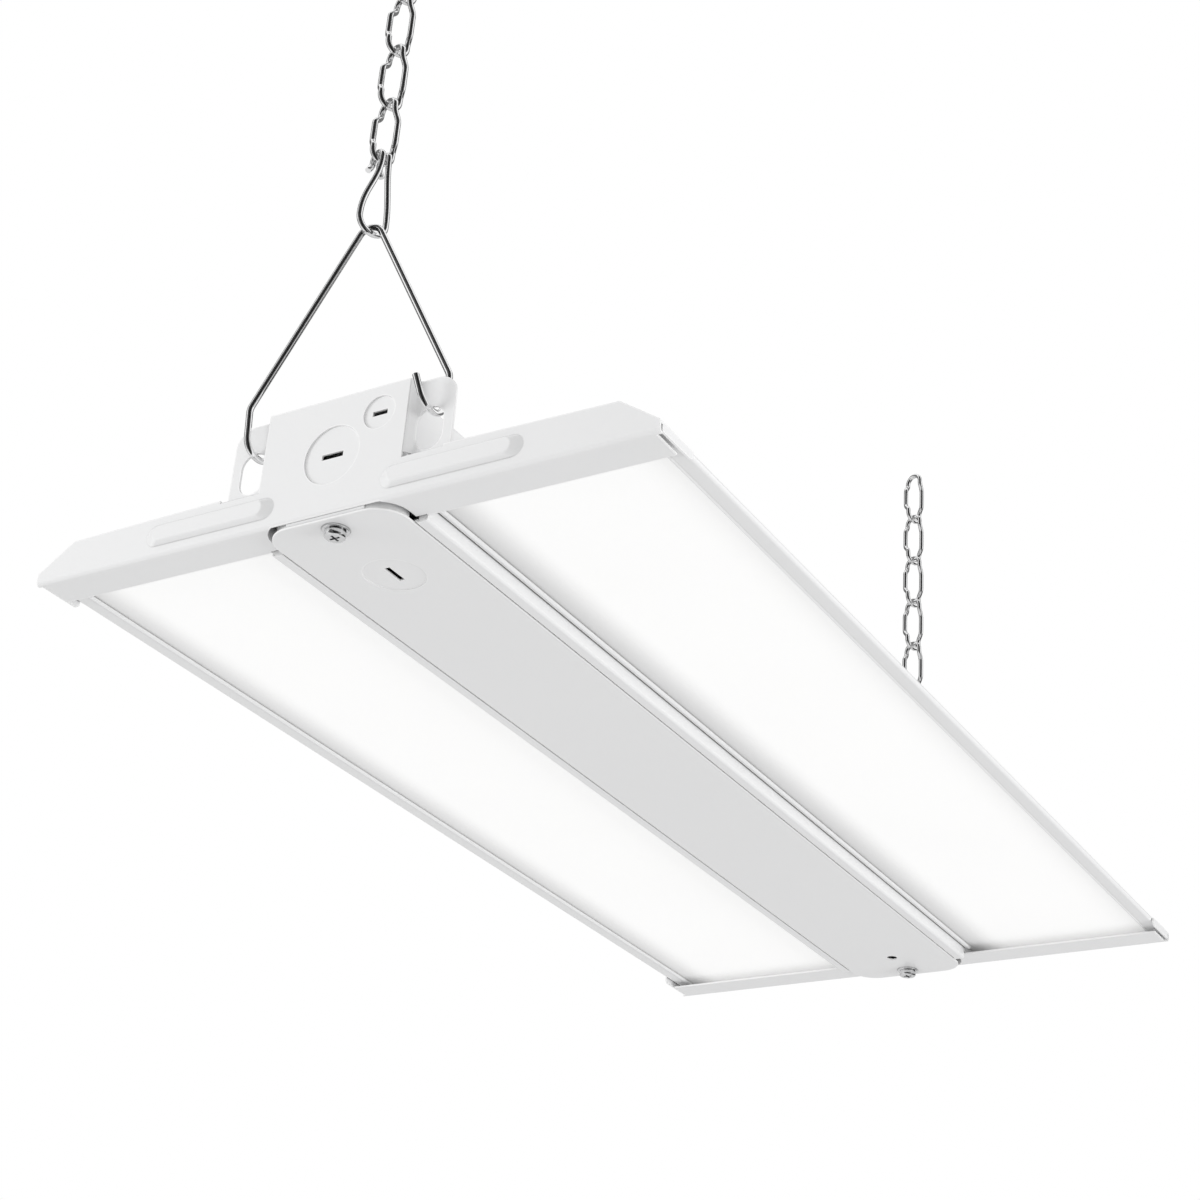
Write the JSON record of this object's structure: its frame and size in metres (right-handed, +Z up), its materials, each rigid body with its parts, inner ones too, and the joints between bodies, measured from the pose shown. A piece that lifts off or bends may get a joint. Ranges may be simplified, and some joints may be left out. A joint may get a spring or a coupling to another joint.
{
  "type": "linear high bay light",
  "caption": "Linear high bay light: folded white sheet fixture with frosted lenses beside a driver channel, hung on wire V hangers, chain hooks and twisted-link chain.",
  "frame": {"origin": "midway between the inner crowns of the top links, on the line of the ceiling hooks", "axes": "+Z up, +X along the fixture from the end nearest in the picture to the far end, +Y across it to the left as seen from the near end's outer face looking along +X"},
  "size_m": [0.6218, 0.32, 0.3585],
  "materials": {
    "white_sheet": "satin white powder coat",
    "frosted_lens": "frosted diffuser sheet",
    "led_board": "white solder mask on a metal core",
    "led": "phosphor face",
    "bright_screw": "bright zinc",
    "green_screw": "green earth screw",
    "rivet": "plain",
    "white_plastic": "moulded",
    "driver_case": "potted case",
    "lead": "insulated wire",
    "grommet": "moulded",
    "bright_wire": "bright zinc-plated wire"
  },
  "bodies": {
    "fixture": {"near_end_plate": "white_sheet", "far_end_plate": "white_sheet", "left_tray": "white_sheet", "right_tray": "white_sheet", "left_lens_rail": "white_sheet", "right_lens_rail": "white_sheet", "left_lens": "frosted_lens", "right_lens": "frosted_lens", "left_led_boards": "led_board", "right_led_boards": "led_board", "left_leds": "led", "right_leds": "led", "board_screws": "bright_screw", "board_connectors": "white_plastic", "driver_housing": "white_sheet", "housing_rivets": "rivet", "led_driver": "driver_case", "driver_screws": "bright_screw", "supply_terminal": "white_plastic", "supply_leads": "lead", "left_output_leads": "lead", "right_output_leads": "lead", "wall_grommets": "grommet", "ground_screw": "green_screw", "driver_cover": "white_sheet", "near_cover_bracket": "white_sheet", "far_cover_bracket": "white_sheet", "cover_screws": "bright_screw", "cover_washers": "bright_screw", "cover_nuts": "bright_screw"},
    "near_v_hanger": {"near_v_hanger": "bright_wire"},
    "near_chain_hook": {"near_chain_hook": "bright_wire"},
    "near_link_1": {"near_link_1": "bright_wire"},
    "near_link_2": {"near_link_2": "bright_wire"},
    "near_link_3": {"near_link_3": "bright_wire"},
    "near_link_4": {"near_link_4": "bright_wire"},
    "near_link_5": {"near_link_5": "bright_wire"},
    "far_v_hanger": {"far_v_hanger": "bright_wire"},
    "far_chain_hook": {"far_chain_hook": "bright_wire"},
    "far_link_1": {"far_link_1": "bright_wire"},
    "far_link_2": {"far_link_2": "bright_wire"},
    "far_link_3": {"far_link_3": "bright_wire"},
    "far_link_4": {"far_link_4": "bright_wire"},
    "far_link_5": {"far_link_5": "bright_wire"}
  },
  "joints": [
    {"name": "near_v_hanger_swing", "type": "hinge", "parent": "fixture", "child": "near_v_hanger", "pos_m": [-0.2999, 0, -0.30082], "axis": [0, 1, 0], "range_deg": [-15, 15]},
    {"name": "near_chain_hook_swing", "type": "hinge", "parent": "near_v_hanger", "child": "near_chain_hook", "pos_m": [-0.2999, 0, -0.1946], "axis": [-0.309, -0.9511, 0], "range_deg": [-30, 30]},
    {"name": "near_link_1_swing", "type": "hinge", "parent": "near_chain_hook", "child": "near_link_1", "pos_m": [-0.2999, 0, -0.16125], "axis": [0.9511, -0.309, 0], "range_deg": [-40, 40]},
    {"name": "near_link_2_swing", "type": "hinge", "parent": "near_link_1", "child": "near_link_2", "pos_m": [-0.2999, 0, -0.1266], "axis": [-0.309, -0.9511, 0], "range_deg": [-35, 35]},
    {"name": "near_link_3_swing", "type": "hinge", "parent": "near_link_2", "child": "near_link_3", "pos_m": [-0.2999, 0, -0.0946], "axis": [-0.309, -0.9511, 0], "range_deg": [-35, 35]},
    {"name": "near_link_4_swing", "type": "hinge", "parent": "near_link_3", "child": "near_link_4", "pos_m": [-0.2999, 0, -0.0626], "axis": [-0.309, -0.9511, 0], "range_deg": [-35, 35]},
    {"name": "near_link_5_swing", "type": "hinge", "parent": "near_link_4", "child": "near_link_5", "pos_m": [-0.2999, 0, -0.0306], "axis": [-0.309, -0.9511, 0], "range_deg": [-35, 35]},
    {"name": "far_v_hanger_swing", "type": "hinge", "parent": "fixture", "child": "far_v_hanger", "pos_m": [0.2999, 0, -0.30082], "axis": [0, -1, 0], "range_deg": [-15, 15]},
    {"name": "far_chain_hook_swing", "type": "hinge", "parent": "far_v_hanger", "child": "far_chain_hook", "pos_m": [0.2999, 0, -0.1946], "axis": [0.309, 0.9511, 0], "range_deg": [-30, 30]},
    {"name": "far_link_1_swing", "type": "hinge", "parent": "far_chain_hook", "child": "far_link_1", "pos_m": [0.2999, 0, -0.16125], "axis": [-0.9511, 0.309, 0], "range_deg": [-40, 40]},
    {"name": "far_link_2_swing", "type": "hinge", "parent": "far_link_1", "child": "far_link_2", "pos_m": [0.2999, 0, -0.1266], "axis": [0.309, 0.9511, 0], "range_deg": [-35, 35]},
    {"name": "far_link_3_swing", "type": "hinge", "parent": "far_link_2", "child": "far_link_3", "pos_m": [0.2999, 0, -0.0946], "axis": [0.309, 0.9511, 0], "range_deg": [-35, 35]},
    {"name": "far_link_4_swing", "type": "hinge", "parent": "far_link_3", "child": "far_link_4", "pos_m": [0.2999, 0, -0.0626], "axis": [0.309, 0.9511, 0], "range_deg": [-35, 35]},
    {"name": "far_link_5_swing", "type": "hinge", "parent": "far_link_4", "child": "far_link_5", "pos_m": [0.2999, 0, -0.0306], "axis": [0.309, 0.9511, 0], "range_deg": [-35, 35]}
  ]
}
